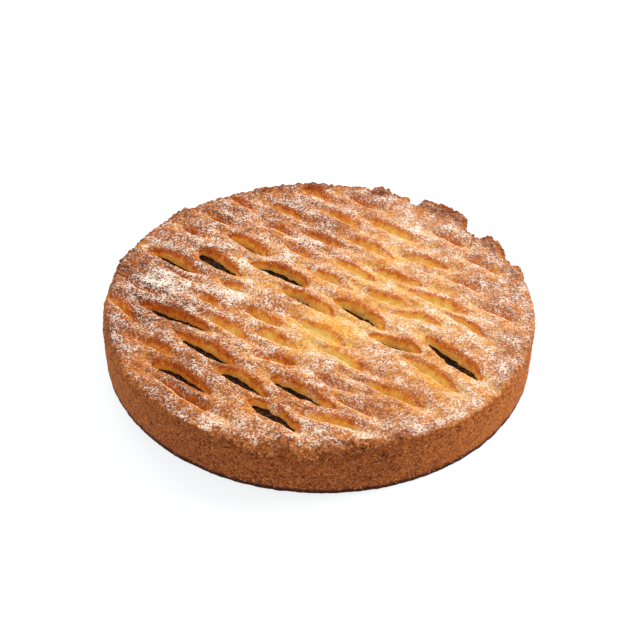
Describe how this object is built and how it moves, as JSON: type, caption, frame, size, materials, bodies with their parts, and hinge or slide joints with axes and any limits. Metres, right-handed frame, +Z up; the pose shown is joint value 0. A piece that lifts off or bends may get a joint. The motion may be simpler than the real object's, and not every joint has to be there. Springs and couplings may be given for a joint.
{
  "type": "apple pie",
  "caption": "Round, straight-sided apple pie out of its tin: a shortcrust case, a dark fruit filling and a pastry lid of staggered slits dusted with sugar, to serve in slices.",
  "frame": {"origin": "the middle of the pie's base, on the surface that it stands on", "axes": "+Z up through the pie; -Y is the side nearest to the viewer in the picture; +X to the viewer's right"},
  "size_m": [0.2396, 0.2401, 0.0311],
  "materials": {
    "crust_side": "matte, crumbly brown shortcrust",
    "fruit_filling": "moist, glossy dark cooked fruit",
    "crust_top": "matte golden pastry with browned slopes",
    "sugar": "matte white powdered sugar"
  },
  "bodies": {
    "root": {"pastry_case": "crust_side", "apple_filling": "fruit_filling", "lattice_lid": "crust_top"}
  },
  "joints": []
}
